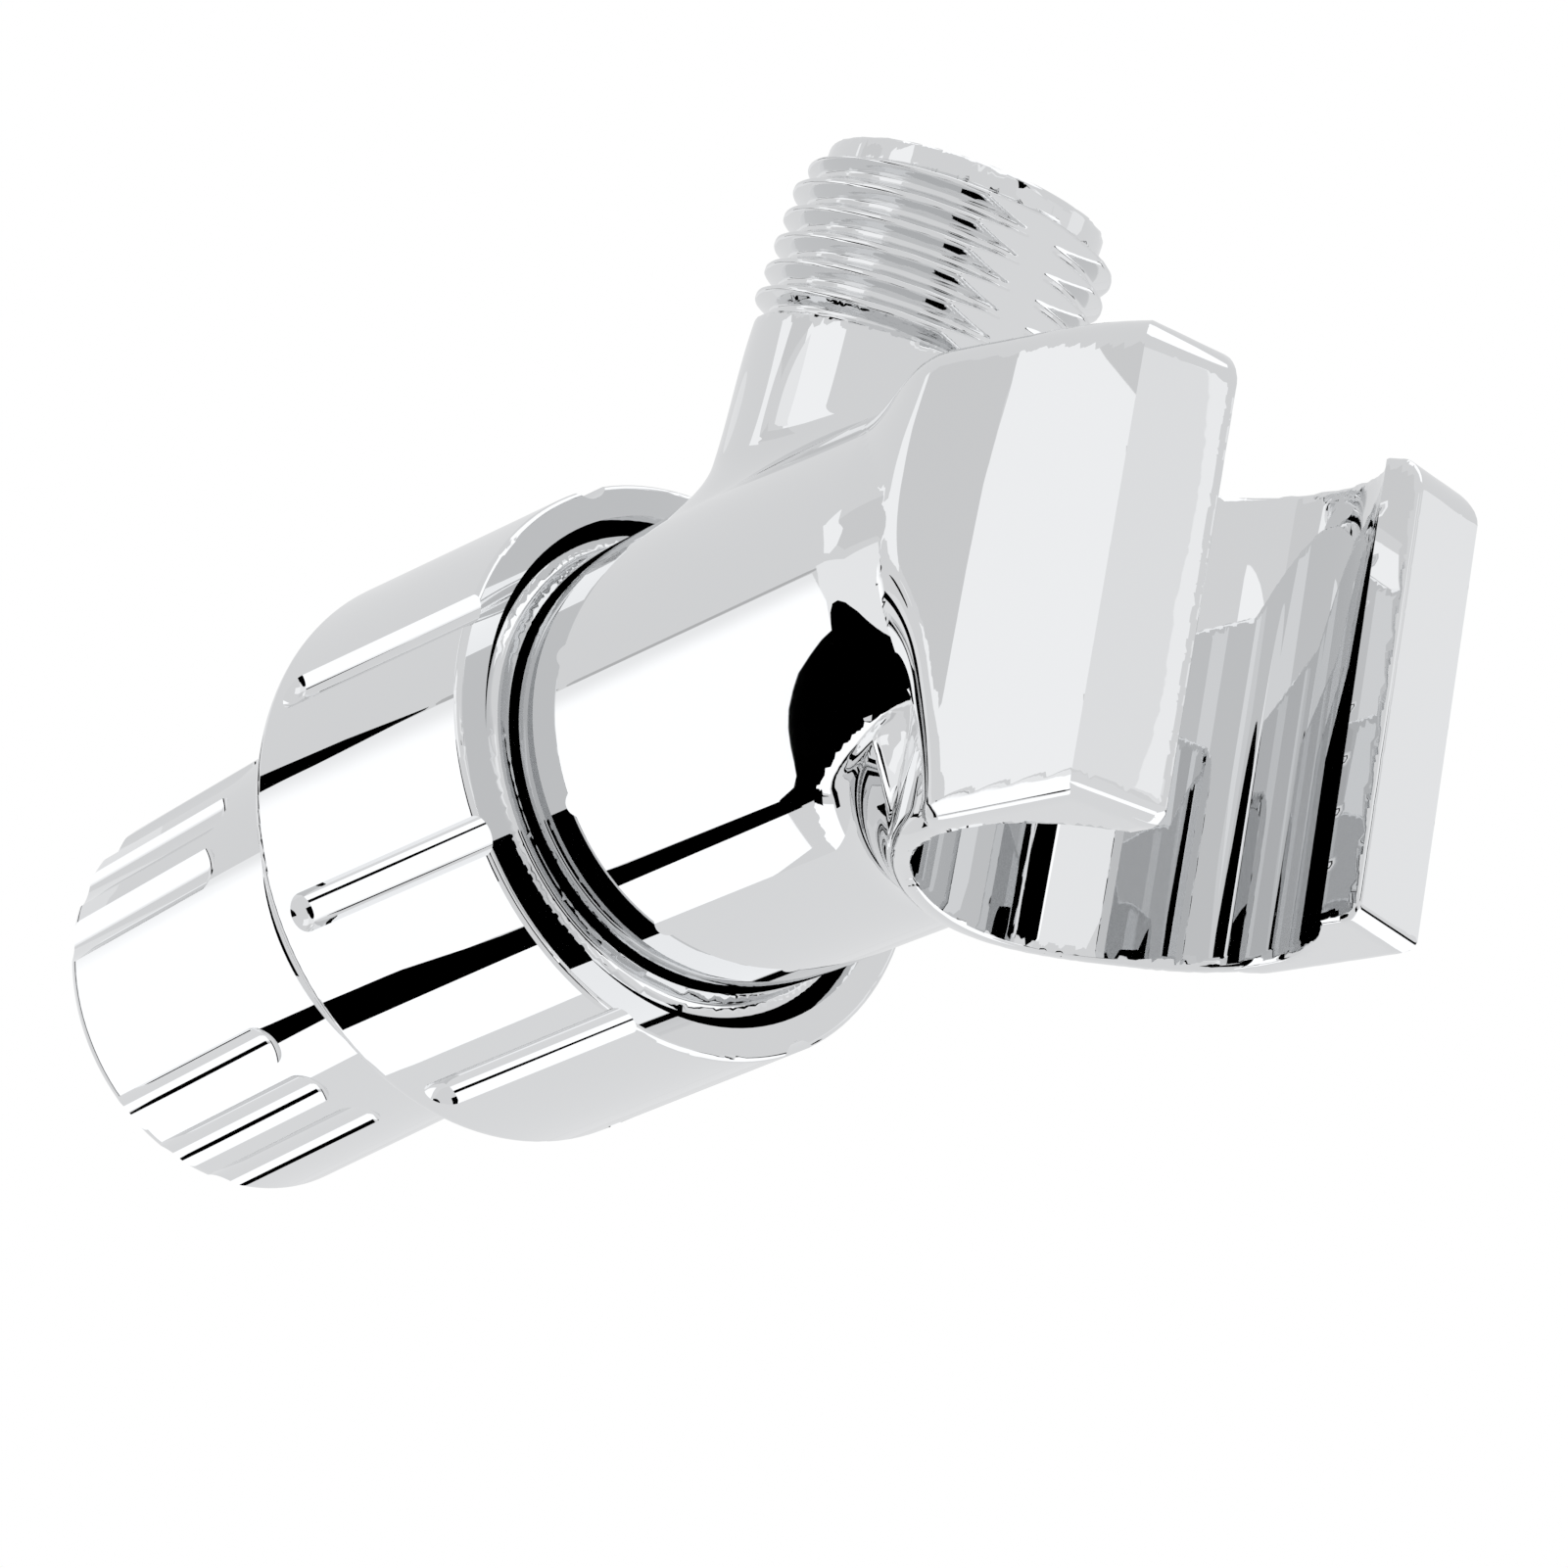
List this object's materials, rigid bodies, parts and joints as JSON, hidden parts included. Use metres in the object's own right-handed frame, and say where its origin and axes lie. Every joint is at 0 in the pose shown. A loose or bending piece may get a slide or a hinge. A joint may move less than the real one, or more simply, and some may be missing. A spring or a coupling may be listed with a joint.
{
  "type": "shower diverter bracket",
  "caption": "Chrome shower arm bracket: ball joint inlet with lock nut, male threaded outlet and a slotted hand shower cradle.",
  "frame": {"origin": "middle of the inlet collar's open end", "axes": "+X along the tube from the inlet towards the cradle, +Z on the side of the threaded outlet, Y across"},
  "size_m": [0.1059, 0.0392, 0.0593],
  "materials": {
    "chrome": "bright chrome plating on moulded plastic",
    "ball_metal": "turned brass, chrome plated",
    "rubber": "matte",
    "slide_plastic": "smooth white acetal",
    "steel": "stainless spring steel and mesh"
  },
  "bodies": {
    "inlet": {"inlet_collar": "chrome", "inlet_washer": "rubber", "inlet_screen": "steel"},
    "ball": {"swivel_ball": "ball_metal", "tail_clip": "steel"},
    "seat": {"slip_ring": "slide_plastic", "ball_seal": "rubber"},
    "body": {"bracket_body": "chrome"},
    "nut": {"lock_nut": "chrome"}
  },
  "joints": [
    {"name": "collar_swivel", "type": "hinge", "parent": "inlet", "child": "ball", "pos_m": [0.0366, 0, 0.00269], "axis": [-0.9973, 0, -0.0732], "continuous": true},
    {"name": "ball_tilt", "type": "hinge", "parent": "ball", "child": "seat", "pos_m": [0.0366, 0, 0.00269], "axis": [0, 1, 0], "range_deg": [-19.2, 10.8]},
    {"name": "body_swivel", "type": "hinge", "parent": "seat", "child": "body", "pos_m": [0.0366, 0, 0.00269], "axis": [1, 0, 0], "continuous": true},
    {"name": "nut_turn", "type": "hinge", "parent": "body", "child": "nut", "pos_m": [0.0366, 0, 0.00269], "axis": [1, 0, 0], "range_deg": [-90, 0]}
  ]
}
